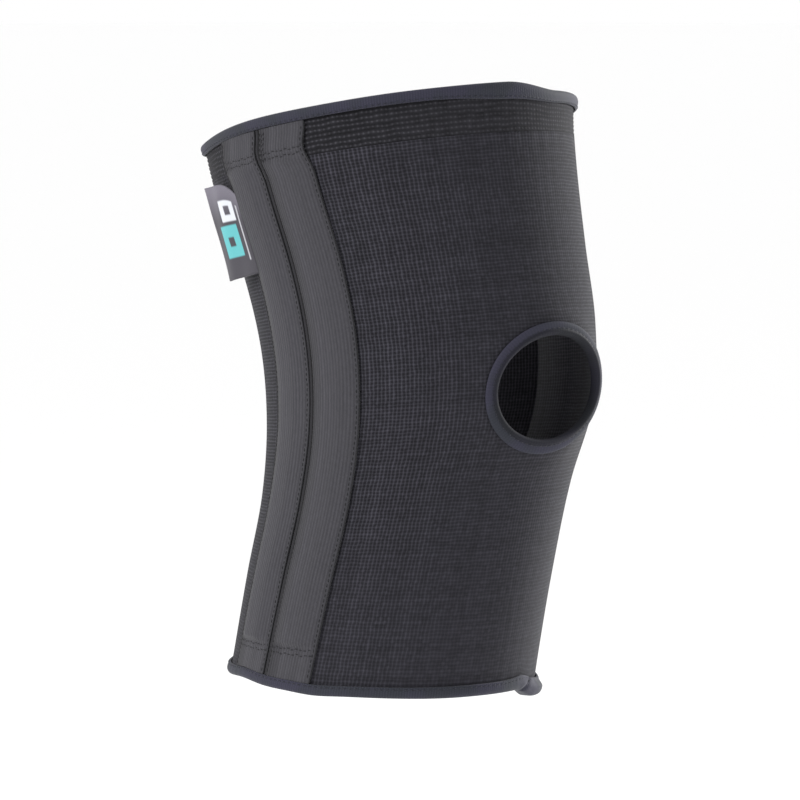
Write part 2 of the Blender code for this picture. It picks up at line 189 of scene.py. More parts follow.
# Label
LABEL_WIDTH = 0.0175
LABEL_LOW, LABEL_HIGH = 0.0452, 0.0815
LABEL_DROOP = 0.0015  # how far its free lower corner hangs
LABEL_CORNER = 0.0060  # how far its sewn upper corner is turned down
LABEL_CORNER_PART = 0.42
LABEL_OVERLAP = 0.0030  # how far its sewn end lies over the tape
LABEL_LIFT_LOW, LABEL_LIFT_HIGH = 19.5, 13.0  # degrees off the leg, at its lower and upper end
LABEL_BOW, LABEL_RIPPLE = 0.0013, 0.0003
LABEL_THICKNESS, LABEL_THINNER = 0.0009, 0.0004  # and how much less where it is sewn flat
LABEL_COLUMNS, LABEL_ROWS = 26, 40

# Stage
FLOOR_REACH, FLOOR_HEIGHT = 120.0, -0.40
VIEW_AZIMUTH, VIEW_ELEVATION = -45.0, 4.5
VIEW_DISTANCE = 2.0
VIEW_ASIDE, VIEW_BELOW = 0.01160, 0.01012  # how far left of and below the origin it looks
LAMPS = (  # name, place along the view's back, right and up ways, width, power
    ("key", (0.9, -1.5, 0.9), 1.2, 23.0),
    ("rim", (-0.95, 1.3, 0.35), 0.6, 29.0),
)


# ---- leg form

def along(points, at):
    """A smooth curve through (position, value) rows, read at an array of positions."""
    xs, ys = points[:, 0], points[:, 1]
    widths = np.diff(xs)
    rises = np.diff(ys) / widths
    slopes = np.empty_like(ys)
    slopes[1:-1] = (rises[:-1] * widths[1:] + rises[1:] * widths[:-1]) / (widths[:-1] + widths[1:])
    slopes[0] = 1.5 * rises[0] - 0.5 * slopes[1]
    slopes[-1] = 1.5 * rises[-1] - 0.5 * slopes[-2]
    at = np.asarray(at, float)
    i = np.clip(np.searchsorted(xs, at) - 1, 0, len(xs) - 2)
    t = (at - xs[i]) / widths[i]
    return (
        (2 * t**3 - 3 * t**2 + 1) * ys[i]
        + (t**3 - 2 * t**2 + t) * widths[i] * slopes[i]
        + (3 * t**2 - 2 * t**3) * ys[i + 1]
        + (t**3 - t**2) * widths[i] * slopes[i + 1]
    )


def hump(position, middle, reach):
    """A smooth bump of height 1 at its middle."""
    return np.exp(-(((position - middle) / reach) ** 2))


def radius_at(height):
    return along(STATIONS[:, (0, 2)], height)


def on_leg(turn, height, out=0.0):
    """Points at turns and section heights, that far outside the knit's outer face."""
    turn, height, out = np.broadcast_arrays(turn, height, out)
    angle = np.pi * turn
    radius = radius_at(height)
    back = along(STATIONS[:, (0, 1)], height)
    tilt = np.radians(along(SECTION_TILTS, height))
    away = np.hypot(radius * angle, height - PATELLA_MIDDLE)
    bulge = KNEECAP_BULGE * hump(away, 0.0, KNEECAP_REACH)
    side = (radius * (1 - FLATTENING) + out) * np.sin(angle)
    fore = (radius * (1 + FLATTENING) + out + bulge) * np.cos(angle)
    return np.stack((-side, back - fore * np.cos(tilt), height + fore * np.sin(tilt)), -1)


def seam_turn(height):
    return along(SEAM_LINE, height)


def turn_of(distance, height):
    """An arc length along the knit as a part of half a turn."""
    return distance / (np.pi * radius_at(height))


def unit(vectors):
    return vectors / np.linalg.norm(vectors, axis=-1, keepdims=True)


def smooth_step(x):
    x = np.clip(x, 0.0, 1.0)
    return x * x * (3 - 2 * x)


def waves(position, seed, count=6):
    """Slow irregular variation between about -1 and 1, periodic over 1."""
    random = np.random.default_rng(seed)
    total = 0.0
    for k in range(1, count + 1):
        total = total + np.sin(2 * np.pi * (k * position + random.random())) / k
    return total / 1.6


# ---- meshes

def new_object(name, data):
    made = bpy.data.objects.new(name, data)
    bpy.context.scene.collection.objects.link(made)
    return made


def new_mesh(name, points, faces, uvs):
    """An object from points, faces and one UV point for each point."""
    mesh = bpy.data.meshes.new(name)
    mesh.from_pydata(np.asarray(points, float).reshape(-1, 3).tolist(), [], faces)
    mesh.update()
    if uvs is not None:
        layer = mesh.uv_layers.new(name="cloth")
        corners = np.empty(len(mesh.loops), int)
        mesh.loops.foreach_get("vertex_index", corners)
        layer.data.foreach_set("uv", np.asarray(uvs, float)[corners].ravel())
    mesh.shade_smooth()
    return new_object(name, mesh)


def grid_faces(rows, columns, start=0, flip=False, wrap_rows=False, wrap_columns=False):
    """Quads over a grid of points that are numbered from start, row by row."""
    i = np.arange(rows if wrap_rows else rows - 1)
    j = np.arange(columns if wrap_columns else columns - 1)
    i, j = np.meshgrid(i, j, indexing="ij")
    ahead, aside = (i + 1) % rows, (j + 1) % columns
    corners = [i * columns + j, ahead * columns + j, ahead * columns + aside, i * columns + aside]
    if flip:
        corners.reverse()
    return (np.stack([c.ravel() for c in corners], 1) + start).tolist()


def closed_sheet(name, outer, inner, uvs, every):
    """A closed cloth: a fine outer grid, an inner one that skips rows and columns, and rims."""
    rows, columns = ([*range(0, count - 1, every), count - 1] for count in uvs.shape[:2])
    picked = np.ix_(rows, columns)
    fine = np.arange(uvs[..., 0].size).reshape(uvs.shape[:2])
    coarse = fine.size + np.arange(len(rows) * len(columns)).reshape(len(rows), -1)
    faces = grid_faces(*fine.shape) + grid_faces(*coarse.shape, fine.size, flip=True)
    for k, (a, b) in enumerate(zip(columns, columns[1:])):
        faces.append([coarse[0, k], *fine[0, a:b + 1], coarse[0, k + 1]])
        faces.append([coarse[-1, k + 1], *fine[-1, a:b + 1][::-1], coarse[-1, k]])
    for k, (a, b) in enumerate(zip(rows, rows[1:])):
        faces.append([coarse[k + 1, 0], *fine[a:b + 1, 0][::-1], coarse[k, 0]])
        faces.append([coarse[k, -1], *fine[a:b + 1, -1], coarse[k + 1, -1]])
    points = np.concatenate((outer.reshape(-1, 3), inner[picked].reshape(-1, 3)))
    uvs = np.concatenate((uvs.reshape(-1, 2), uvs[picked].reshape(-1, 2)))
    return new_mesh(name, points, faces, uvs)


def ring_sweep(name, grid, along, across):
    """A closed ring from points that wrap both ways, with millimetres along and across as UV."""
    faces = grid_faces(*grid.shape[:2], wrap_rows=True, wrap_columns=True)
    uvs = np.stack(np.broadcast_arrays(along, across), -1)
    return turned_outward(new_mesh(name, grid, faces, uvs.reshape(-1, 2)))


def turned_outward(piece):
    """Make the faces' normals consistent and outward."""
    bm = bmesh.new()
    bm.from_mesh(piece.data)
    bmesh.ops.recalc_face_normals(bm, faces=bm.faces)
    bm.to_mesh(piece.data)
    bm.free()
    return piece


# ---- placing

def finish_piece(piece, surface, nodes=(), body=None):
    """Give a piece its material and slot, let it replace its CAD nodes, and hang it on one body if one is
    given, or else bake its place into its mesh.
    """
    piece.data.materials.clear()
    piece.data.materials.append(surface)
    if nodes:
        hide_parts(*nodes)
    if body:
        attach(piece, body)
    else:
        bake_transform(piece)


# ---- materials

class Surface:
    """A node material, with shorthand for the sums that make its pattern."""

    def __init__(self, name, roughness, sheen=0.0, metallic=0.0):
        self.material = bpy.data.materials.new(name)
        self.material.use_nodes = True
        self.tree = self.material.node_tree
        self.shader = self.tree.nodes["Principled BSDF"]
        self.set("Roughness", roughness)
        self.set("Metallic", metallic)
        self.set("Sheen Weight", sheen)
        self.set("Sheen Roughness", 0.45)
        self.set("Specular IOR Level", 0.18)
        cloth = self.node("UVMap")
        cloth.uv_map = "cloth"
        self.cloth = cloth.outputs[0]
        split = self.node("SeparateXYZ")
        self.link(self.cloth, split.inputs[0])
        self.u, self.v = split.outputs[0], split.outputs[1]
        place = self.node("TexCoord")
        self.place = place.outputs["Object"]

    def link(self, value, socket):
        if isinstance(value, bpy.types.NodeSocket):
            self.tree.links.new(value, socket)
        else:
            socket.default_value = value

    def node(self, kind):
        return self.tree.nodes.new("ShaderNode" + kind)

    def set(self, name, value):
        self.link(value, self.shader.inputs[name])

    def math(self, operation, *values):
        node = self.node("Math")
        node.operation = operation
        for value, socket in zip(values, node.inputs):
            self.link(value, socket)
        return node.outputs[0]

    def times(self, a, b):
        return self.math("MULTIPLY", a, b)

    def plus(self, a, b):
        return self.math("ADD", a, b)

    def ridge(self, position, sharpness=1.0):
        """1 at whole numbers and 0 half-way between them."""
        wave = self.math("COSINE", self.times(position, 2 * math.pi))
        return self.math("POWER", self.math("MULTIPLY_ADD", wave, 0.5, 0.5), sharpness)

    def noise(self, scale, detail=2.0, vector=None, stretch=(1.0, 1.0, 1.0)):
        """Cloudy variation from 0 to 1, over the cloth's own coordinates or over the object's."""
        mapping = self.node("Mapping")
        mapping.inputs["Scale"].default_value = stretch
        self.link(self.place if vector is None else vector, mapping.inputs["Vector"])
        node = self.node("TexNoise")
        node.inputs["Scale"].default_value = scale
        node.inputs["Detail"].default_value = detail
        self.link(mapping.outputs[0], node.inputs["Vector"])
        return node.outputs["Fac"]

    def per_line(self, position):
        """A random value from 0 to 1 for each whole number's line."""
        node = self.node("TexWhiteNoise")
        node.noise_dimensions = "1D"
        self.link(self.math("ROUND", position), node.inputs["W"])
        return node.outputs["Value"]

    def per_stitch(self):
        """A random value from 0 to 1 for each stitch of the cloth's grid."""
        node = self.node("TexWhiteNoise")
        node.noise_dimensions = "2D"
        place = self.node("CombineXYZ")
        self.link(self.math("ROUND", self.u), place.inputs["X"])
        self.link(self.math("ROUND", self.v), place.inputs["Y"])
        self.link(place.outputs[0], node.inputs["Vector"])
        return node.outputs["Value"]

    def span(self, value, low, high, new_low=0.0, new_high=1.0):
        node = self.node("MapRange")
        node.interpolation_type = "SMOOTHSTEP"
        for socket, given in zip(node.inputs, (value, low, high, new_low, new_high)):
            self.link(given, socket)
        return node.outputs[0]

    def mix(self, factor, a, b):
        node = self.node("Mix")
        node.data_type = "RGBA"
        sockets = {s.identifier: s for s in node.inputs}
        self.link(factor, sockets["Factor_Float"])
        for value, socket in ((a, "A_Color"), (b, "B_Color")):
            self.link((*value, 1.0) if isinstance(value, tuple) else value, sockets[socket])
        return next(s for s in node.outputs if s.identifier == "Result_Color")

    def shade(self, colour, factor):
        """A colour, dimmed or brightened by a factor."""
        node = self.node("VectorMath")
        node.operation = "SCALE"
        self.link(colour, node.inputs[0])
        self.link(factor, node.inputs["Scale"])
        return node.outputs[0]

    def bump(self, height, distance, strength):
        node = self.node("Bump")
        node.inputs["Distance"].default_value = distance
        node.inputs["Strength"].default_value = strength
        self.link(height, node.inputs["Height"])
        self.set("Normal", node.outputs[0])


KNIT_DARK, KNIT_LIGHT = (0.0074, 0.0071, 0.0094), (0.0395, 0.0382, 0.0486)
RIB_DARK, RIB_LIGHT = (0.0070, 0.0068, 0.0086), (0.0440, 0.0427, 0.0507)
TAPE_DARK, TAPE_LIGHT = (0.0390, 0.0378, 0.0438), (0.0542, 0.0527, 0.0604)
BINDING_BLUE, BINDING_GREEN = (0.0275, 0.0268, 0.0430), (0.0225, 0.0245, 0.0325)
THREAD_COLOUR, HEM_THREAD_COLOUR = (0.0150, 0.0147, 0.0172), (0.0225, 0.0235, 0.0335)
# LABEL_PAINTED_SHEEN is a painted sheen, the lighter colour of the satin's upper part.
LABEL_GROUND, LABEL_PAINTED_SHEEN = (0.058, 0.055, 0.065), (0.15, 0.14, 0.17)
LABEL_WHITE, LABEL_TEAL = (0.60, 0.62, 0.66), (0.11, 0.41, 0.43)
STEEL = (0.52, 0.53, 0.55)


def knit_surface(name, dark, light, wale_share, course_share, crossed, wales):
    """Light yarn crossed over dark pores, or rows of beads. The pores are widest open beside the tapes."""
    s = Surface(name, 0.88, sheen=0.06)
    drift = s.noise(0.035, 2.0, s.cloth)
    wander = s.math("MULTIPLY_ADD", s.noise(0.30, 2.0, s.cloth), 0.7, -0.35)
    wale = s.ridge(s.plus(s.u, wander), 2.3)
    course = s.ridge(s.math("SUBTRACT", s.v, wander), 2.3)
    aside = s.math("ABSOLUTE", s.math("MULTIPLY_ADD", s.u, 2.0 / wales, -1.0))
    contrast = s.span(aside, 0.15, 0.75, PORES_MIDDLE, 0.88)
    if crossed:
        contrast = s.times(contrast, s.span(s.v, 10.0, 60.0, PORES_LOW, 1.0))
        towards_label = s.span(s.u, 0.45 * wales, 0.9 * wales)
        towards_label = s.plus(towards_label, s.span(drift, 0.40, 0.60, -0.35, 0.35))
        wale_weight = s.span(towards_label, 0.0, 1.0, wale_share * 0.62, wale_share * 1.15)
        course_weight = s.span(towards_label, 0.0, 1.0, course_share, course_share * 0.75)
        weave = s.plus(s.times(wale, wale_weight), s.times(course, course_weight))
    else:
        weave = s.times(course, s.math("MULTIPLY_ADD", wale, wale_share, 1 - wale_share))
    weave = s.math("MULTIPLY_ADD", s.math("SUBTRACT", weave, WEAVE_MEAN), contrast, WEAVE_MEAN)
    fibres = s.noise(2600.0, 3.0)
    lines = s.times(s.plus(s.per_line(s.u), s.per_line(s.v)), 0.20)
    stitches = s.times(s.per_stitch(), 0.34)
    cloud = s.times(s.noise(38.0, 3.0), 0.14)
    level = s.plus(s.plus(lines, 0.50), s.plus(s.times(fibres, 0.12), s.plus(stitches, cloud)))
    s.set("Base Color", s.shade(s.mix(weave, dark, light), level))
    s.set("Roughness", s.span(weave, 0.0, 1.0, 0.97, 0.82))
    s.bump(s.plus(weave, s.times(fibres, 0.35)), 0.00020, 0.7)
    return s.material


def tape_surface(name, groove=None):
    """Woven tape with fine lengthwise ribs. Its colour carries painted shade towards its edges and a
    painted shadow along a groove so far from its middle.
    """
    s = Surface(name, 0.80, sheen=0.08)
    rib = s.ridge(s.u, 0.8)
    stagger = s.times(s.math("FLOORED_MODULO", s.math("ROUND", s.u), 2.0), 0.5)
    cross = s.ridge(s.plus(s.times(s.v, 0.80), stagger), 0.7)
    fibres = s.noise(2400.0, 3.0)
    streaks = s.noise(1.0, 3.0, s.cloth, (1.9, 0.05, 1.0))
    weave = s.times(rib, s.math("MULTIPLY_ADD", cross, 0.30, 0.70))
    mottle = s.noise(1100.0, 2.0, stretch=(1.0, 1.0, 0.45))
    fine = s.plus(s.plus(s.times(fibres, 0.14), s.times(mottle, 0.40)), s.times(s.per_line(s.u), 0.14))
    level = s.plus(s.plus(s.times(streaks, 0.28), 0.48), fine)
    edge = s.math("ABSOLUTE", s.u)
    # Painted shadow: a narrow darkening at each edge of the tape, where it meets the knit.
    painted_edge_shadow = s.span(edge, TAPE_RIBS / 2 - 0.45, TAPE_RIBS / 2, 1.0, 0.50)
    # Painted shade: each tape is darkened over a broad band towards both edges, most on its +u side,
    # standing in for how the light falls across it.
    rear_painted_shade = s.span(s.u, TAPE_RIBS / 2 - 7.5, TAPE_RIBS / 2, 1.0, 0.46)
    front_painted_shade = s.span(s.u, -TAPE_RIBS / 2, 3.5 - TAPE_RIBS / 2, 0.76, 1.0)
    level = s.times(level, s.times(painted_edge_shadow, s.times(rear_painted_shade, front_painted_shade)))
    if groove is not None:
        # Painted shadow along the seam-side stitch groove, held weaker towards the tape's lower end.
        line = groove * TAPE_RIBS / TAPE_WIDTH
        beside = s.math("ABSOLUTE", s.math("SUBTRACT", s.u, line))
        shadow = s.span(beside, 0.20, 0.55, 0.16, 1.0)
        level = s.times(level, s.math("MAXIMUM", shadow, s.span(s.v, -100.0, -20.0, 0.85, 0.20)))
    s.set("Base Color", s.shade(s.mix(weave, TAPE_DARK, TAPE_LIGHT), level))
    s.bump(s.plus(weave, s.times(fibres, 0.5)), 0.00009, 0.7)
    return s.material


def binding_surface(name, ribbed, painted_shade_from=None):
    """Slate-blue binding with dotted ribs and uneven dye, with painted shade beyond painted_shade_from
    millimetres round it.
    """
    s = Surface(name, 0.74, sheen=0.10 if painted_shade_from is None else 0.0)
    rib = s.ridge(s.times(s.u, 0.95), 0.8)
    dots = s.ridge(s.plus(s.times(s.v, 1.2), s.times(s.math("ROUND", s.times(s.u, 0.95)), 0.5)), 0.8)
    fibres = s.noise(2400.0, 3.0)
    dye = s.span(s.noise(55.0, 2.0), 0.38, 0.62)
    weave = s.times(rib, s.math("MULTIPLY_ADD", dots, 0.5, 0.5))
    level = s.plus(s.math("MULTIPLY_ADD", weave, ribbed, 0.87 - 0.38 * ribbed), s.times(fibres, 0.25))
    # Painted shade on the inner roll of the opening's binding.
    if painted_shade_from is not None:
        level = s.times(level, s.span(s.v, painted_shade_from - 0.5, painted_shade_from + 0.5, 1.02, 0.42))
    s.set("Base Color", s.shade(s.mix(dye, BINDING_BLUE, BINDING_GREEN), level))
    s.bump(s.plus(weave, s.times(fibres, 0.6)), 0.00024 * ribbed, 0.7)
    return s.material


def thread_surface(name, colour):
    """Sewing thread, with the twist of its plies."""
    s = Surface(name, 0.62, sheen=0.10)
    twist = s.ridge(s.plus(s.u, s.v))
    s.set("Base Color", s.shade(s.mix(twist, tuple(0.55 * c for c in colour), colour), 1.0))
    s.bump(twist, 0.00005, 0.6)
    return s.material


def steel_surface():
    """Drawn spring steel, with fine scratches along it."""
    s = Surface("spring_steel", 0.34, metallic=1.0)
    scratch = s.noise(900.0, 4.0, stretch=(1.0, 1.0, 0.15))
    s.set("Base Color", s.mix(scratch, STEEL, (0.40, 0.41, 0.43)))
    s.set("Roughness", s.span(scratch, 0.2, 0.8, 0.26, 0.48))
    return s.material


def label_surface():
    """Satin label: two plain squares and a plain line, woven in fine rows, with a painted sheen lightening
    its upper part.
    """
    s = Surface("label_satin", 0.42, sheen=0.1)
    rows = s.ridge(s.times(s.v, 120.0), 0.7)
    fibres = s.noise(2600.0, 2.0)

    def block(left, right, low, high, soft=0.012):
        inside = None
        for value, edge, way in ((s.u, left, 1), (s.u, right, -1), (s.v, low, 1), (s.v, high, -1)):
            step = s.span(value, edge - soft * way, edge + soft * way)
            inside = step if inside is None else s.times(inside, step)
        return inside

    def without(shape, hole):
        return s.times(shape, s.math("SUBTRACT", 1.0, hole))

    white = without(block(0.20, 0.60, 0.60, 0.83), block(0.31, 0.46, 0.67, 0.77))
    teal = without(block(0.25, 0.76, 0.22, 0.56), block(0.42, 0.58, 0.335, 0.435))
    line = block(0.100, 0.135, 0.16, 0.80)
    # Painted sheen: the satin ground lightens towards its upper end.
    ground_with_painted_sheen = s.mix(s.span(s.v, 0.55, 1.0), LABEL_GROUND, LABEL_PAINTED_SHEEN)
    colour = s.mix(line, ground_with_painted_sheen, (0.42, 0.42, 0.45))
    colour = s.mix(white, colour, LABEL_WHITE)
    colour = s.mix(teal, colour, LABEL_TEAL)
    level = s.plus(s.math("MULTIPLY_ADD", rows, 0.14, 0.82), s.times(fibres, 0.12))
    s.set("Base Color", s.shade(colour, level))
    s.bump(s.plus(rows, fibres), 0.00004, 0.5)
    return s.material


KNIT = knit_surface("elastic_knit", KNIT_DARK, KNIT_LIGHT, 0.64, 0.56, True, WALES)
RIB_KNIT = knit_surface("rib_knit", RIB_DARK, RIB_LIGHT, 0.70, 1.0, False, RIB_WALES)
TAPES = {
    # The front tapes carry a painted shadow along their seam-side stitch line.
    "front": tape_surface("front_tape_weave", TAPE_WIDTH / 2 - SEAM_STITCH_INSET),
    "rear": tape_surface("rear_tape_weave"),
}
BINDING = binding_surface("hem_weave", 0.40)
# The ring's binding carries painted shade beyond 3.2 mm round its profile, on its inner roll.
RING_BINDING = binding_surface("ring_weave", 0.22, 3.2)
THREAD = thread_surface("sewing_thread", THREAD_COLOUR)
HEM_THREAD = thread_surface("hem_thread", HEM_THREAD_COLOUR)
SPRING_STEEL = steel_surface()
LABEL = label_surface()


# ---- knit

def ring_place(turn, height):
    """Where a point lies about the patella opening: its angle, and how far outside the opening's edge."""
    a = (turn * np.pi * radius_at(height) - PATELLA_SIDE) / PATELLA_HALF_WIDTH
    b = (height - PATELLA_MIDDLE) / PATELLA_HALF_HEIGHT
    spread = (np.hypot(a, b) - 1) * (PATELLA_HALF_WIDTH + PATELLA_HALF_HEIGHT) / 2
    return np.arctan2(b, a), spread


def ring_lift(angle):
    """How far the binding stands up off the leg form, most on the side away from the label."""
    return RING_LIFT_LEAST + RING_LIFT_MORE * ((1 - np.cos(angle)) / 2) ** 1.5


def knit_lift(turn, height):
    """How far the knit rises with the opening's binding."""
    angle, spread = ring_place(turn, height)
    beyond = np.maximum(spread - RING_LIFT_PLATEAU, 0.0)
    return ring_lift(angle) * hump(beyond, 0.0, RING_LIFT_REACH)


def tape_middle(side, place, height):
    """The turn of a tape's middle line."""
    shift = -TAPE_PITCH / 2 if place == "front" else TAPE_PITCH / 2
    shift = shift + TAPE_KINK * hump(height, TAPE_KINK_HEIGHT, TAPE_KINK_REACH)
    return side * (seam_turn(height) + turn_of(shift, height))


def front_turns(height):
    reach = seam_turn(height) - turn_of(SEAM_GAP / 2, height)
    return -reach, reach


def rear_turns(height):
    reach = seam_turn(height) + turn_of(SEAM_GAP / 2, height)
    return reach, 2.0 - reach


def panel_columns(wales, covered, samples):
    """Wale positions across a panel, fine in the open and coarse under the tapes."""
    under = np.linspace(0, covered, 5)[:-1]
    fine = np.arange(covered * samples, (wales - covered) * samples + 1) / samples
    return np.concatenate((under, fine, wales - under[::-1]))


def pinch(turn, height):
    """How far the knit is drawn in beside the tapes' stitched edges."""
    depth = np.zeros_like(turn)
    for side in (1, -1):
        for place in ("front", "rear"):
            off = np.abs((turn + 1 - tape_middle(side, place, height)) % 2.0 - 1)
            beyond = off * np.pi * radius_at(height) - TAPE_WIDTH / 2
            depth = np.maximum(depth, hump(beyond, 0.0, PINCH_REACH))
    return PINCH_DEPTH * depth


def open_pores(wale_part, course_part=1.0):
    """How deep the knit's relief is over a panel, like its surface's contrast."""
    across = PORES_MIDDLE + (1 - PORES_MIDDLE) * smooth_step((np.abs(2 * wale_part - 1) - 0.15) / 0.60)
    return across * (PORES_LOW + (1 - PORES_LOW) * smooth_step(course_part * 2.5))


def knit_panel(name, turns):
    """A panel of knit from the lower hem to the rib band, its stitches a relief of two points each way."""
    low, high = BOTTOM + BINDING_WALL + GAP, TOP - BINDING_WALL - GAP - RIB_BAND_HEIGHT - SEAM_GAP
    courses = round((high - low) / COURSE_HEIGHT)
    wale, course = np.meshgrid(panel_columns(WALES, COVERED_WALES, 2), np.arange(2 * courses + 1) / 2)
    wale_part, part = wale / WALES, course / courses
    height = low + (high - low) * (part + COURSE_STRETCH * part * (1 - part))
    left, right = turns(height)
    turn = left + (right - left) * wale / WALES
    front_turn = (turn + 1) % 2.0 - 1
    height = height + hem_fold(BOTTOM, front_turn) * smooth_step(1 - course / 12)
    weave = 1 - np.sin(np.pi * wale) ** 2 * np.sin(np.pi * course) ** 2
    relief = KNIT_RELIEF * open_pores(wale_part, part) * (weave - 1)
    swell = KNIT_SWELL * waves(wale_part + 0.13 * part, 3) * np.sin(np.pi * part)
    edge = hump(height, low, PUCKER_REACH) + hump(height, high, PUCKER_REACH)
    pucker = np.sin(2 * np.pi * (wale / PUCKER_WALES + 0.6 * waves(wale_part, 5)))
    out = relief + swell + PUCKER_RELIEF * edge * pucker - pinch(front_turn, height)
    lift = knit_lift(front_turn, height)
    outer = on_leg(turn, height, out + lift)
    inner = on_leg(turn, height, lift - KNIT_THICKNESS)
    return closed_sheet(name, outer, inner, np.stack((wale, course), -1), 6)


def around_opening(angle, spread, out):
    """Points beside the patella opening: spread is how far outside the opening's edge they lie."""
    height = PATELLA_MIDDLE + (PATELLA_HALF_HEIGHT + spread) * np.sin(angle)
    turn = turn_of(PATELLA_SIDE + (PATELLA_HALF_WIDTH + spread) * np.cos(angle), height)
    return on_leg(turn, height, out)


def cut_opening(piece):
    """Cut the patella opening through a panel, inside the binding's fold."""
    steps = 120
    angle = 2 * np.pi * np.arange(steps) / steps
    spread = BINDING_WALL + 2 * GAP
    loops = np.stack([around_opening(angle, spread, out) for out in CUTTER_REACH])
    faces = grid_faces(2, steps, wrap_columns=True)
    faces += [list(range(steps)), list(range(2 * steps - 1, steps - 1, -1))]
    cutter = turned_outward(new_mesh("cutter", loops, faces, None))
    cut = piece.modifiers.new("opening", "BOOLEAN")
    cut.operation, cut.solver, cut.object = "DIFFERENCE", "EXACT", cutter
    bpy.context.view_layer.update()
    done = bpy.data.meshes.new_from_object(piece.evaluated_get(bpy.context.evaluated_depsgraph_get()))
    piece.modifiers.clear()
    piece.data = done
    bpy.data.objects.remove(cutter)


def rib_band(name, turns):
    """The band of coarse rib knit under the upper hem, with rows of beads."""
    low = TOP - BINDING_WALL - GAP - RIB_BAND_HEIGHT
    row_count = RIB_BAND_HEIGHT / RIB_ROW_HEIGHT
    rows = np.linspace(0, row_count, round(row_count * 8) + 1)
    wale, row = np.meshgrid(panel_columns(RIB_WALES, COVERED_RIB_WALES, 4), rows)
    wale_part = wale / RIB_WALES
    height = low + RIB_ROW_HEIGHT * row
    left, right = turns(height)
    turn = left + (right - left) * wale / RIB_WALES
    front_turn = (turn + 1) % 2.0 - 1
    height = height + hem_fold(TOP, front_turn) * row / row_count
    course = 0.5 - 0.5 * np.cos(2 * np.pi * row)
    bead = 0.5 + 0.5 * np.cos(2 * np.pi * wale)
    depth = RIB_RELIEF * smooth_step(row * 2) * open_pores(wale_part)
    relief = depth * (course**0.7 * (0.42 + 0.58 * bead) - 1)
    out = relief + RIB_SWELL * waves(wale_part, 9) - pinch(front_turn, height)
    outer = on_leg(turn, height, out)
    inner = on_leg(turn, height, -RIB_BAND_THICKNESS)
    return closed_sheet(name, outer, inner, np.stack((wale, row + 0.5), -1), 8)


# ---- bindings

def rounded(profile):
    """A closed profile with its corners cut away, twice."""
    points = np.asarray(profile, float)
    for _ in range(2):
        after = np.roll(points, -1, axis=0)
        points = np.stack((0.75 * points + 0.25 * after, 0.25 * points + 0.75 * after), 1)
        points = points.reshape(-1, 2)
    return points


def binding_profile(depth, knit_thickness):
    """Folded tape over a knit edge: shares of the depth from the fold, heights over the knit's face."""
    outer = GAP + BINDING_WALL
    inner = -knit_thickness - GAP - BINDING_WALL
    wall = BINDING_WALL / depth
    return rounded((
        (1.0, GAP), (1.0, outer - 0.0006), (0.93, outer - 0.0002), (0.80, outer - 0.0002), (0.66, outer),
        (0.38, outer + 0.0002), (0.12, outer - 0.0002), (0.0, outer - 0.0010), (0.0, inner + 0.0010),
        (0.15, inner), (0.80, inner), (1.0, inner + 0.0005), (1.0, -knit_thickness - GAP),
        (wall, -knit_thickness - GAP), (wall, GAP),
    ))


def profile_lengths(profile, depth):
    """Distance round the profile, in millimetres."""
    steps = np.diff(np.vstack((profile, profile[:1])) * (depth, 1.0), axis=0)
    return np.concatenate(((0.0,), np.cumsum(np.hypot(*steps.T))[:-1])) * 1000


def uneven(turn, amount, seed, count=6):
    """Slow unevenness round a hem."""
    return amount * waves((turn + 1) / 2, seed, count)


def hem_depth(edge, turn):
    """How far a hem shows: more where the top one's fold was pulled up and where the lower one joins."""
    depth = HEM_DEPTH + uneven(turn, *DEPTH_WAVE)
    if edge == TOP:
        return depth + PULL_DEPTH * hump(turn, PULL_TURN, PULL_REACH)
    return depth + JOIN_DEPTH * hump(turn, HEM_JOINS["bottom"], JOIN_DEPTH_REACH)


def hem_fold(edge, turn):
    """How far the fold lies above the sleeve's plain edge, which was never cut quite straight."""
    aside = np.abs(turn)
    if edge == TOP:
        far_front = smooth_step((0.04 - turn) / 0.13) * smooth_step((turn + 0.62) / 0.25)
        return -0.0020 * hump(aside, 0.70, 0.11) - 0.0032 * far_front
    far_front = smooth_step((-0.07 - turn) / 0.08) * smooth_step((turn + 0.40) / 0.12)
    sag = 0.0033 * far_front + 0.0002 + 0.0008 * hump(turn, HEM_JOINS["bottom"] - 0.02, 0.06)
    return 0.0015 * hump(aside, 0.61, 0.07) - 0.0006 * hump(aside, 0.40, 0.05) - sag


def join_lump(edge, turn, part):
    """How much thicker a hem is where its ends join. The lower one is rolled and creased beside it."""
    join = HEM_JOINS["top" if edge == TOP else "bottom"]
    lump = JOIN_LUMP * hump(turn, join, JOIN_LUMP_REACH)
    if edge == TOP:
        return lump
    held = smooth_step((part - 0.45) / 0.55)
    rolled = (lump + JOIN_ROLL * hump(turn, join + JOIN_ROLL_SHIFT, JOIN_LUMP_REACH)) * (1 - 0.95 * held)
    crease = join + CREASE_SHIFT - CREASE_SLANT * (part - 0.5)
    return rolled - CREASE_DEPTH * hump(turn, crease, CREASE_REACH)


def hem(name, edge, inward, knit_thickness):
    """A folded binding round one end of the sleeve, thicker where its ends join."""
    profile = binding_profile(HEM_PROFILE_DEPTH, knit_thickness)
    part, rise = profile[None, :, 0], profile[None, :, 1]
    step = np.arange(HEM_STEPS)[:, None]
    turn = 2 * step / HEM_STEPS - 1
    ribs = HEM_RIB * np.where(step % 2, -1.0, 1.0)
    lump = join_lump(edge, turn, part)
    side = np.sign(rise + knit_thickness / 2)
    out = rise + side * ribs + np.where(side > 0, lump, -0.3 * lump) + uneven(turn, *OUT_WAVE)
    fold = uneven(turn, *FOLD_WAVE) + hem_fold(edge, turn)
    height = edge + fold + inward * hem_depth(edge, turn) * part
    millimetres = 2 * np.pi * radius_at(edge) * 1000
    across = profile_lengths(profile, HEM_PROFILE_DEPTH)
    return ring_sweep(name, on_leg(turn, height, out), millimetres * step / HEM_STEPS, across)


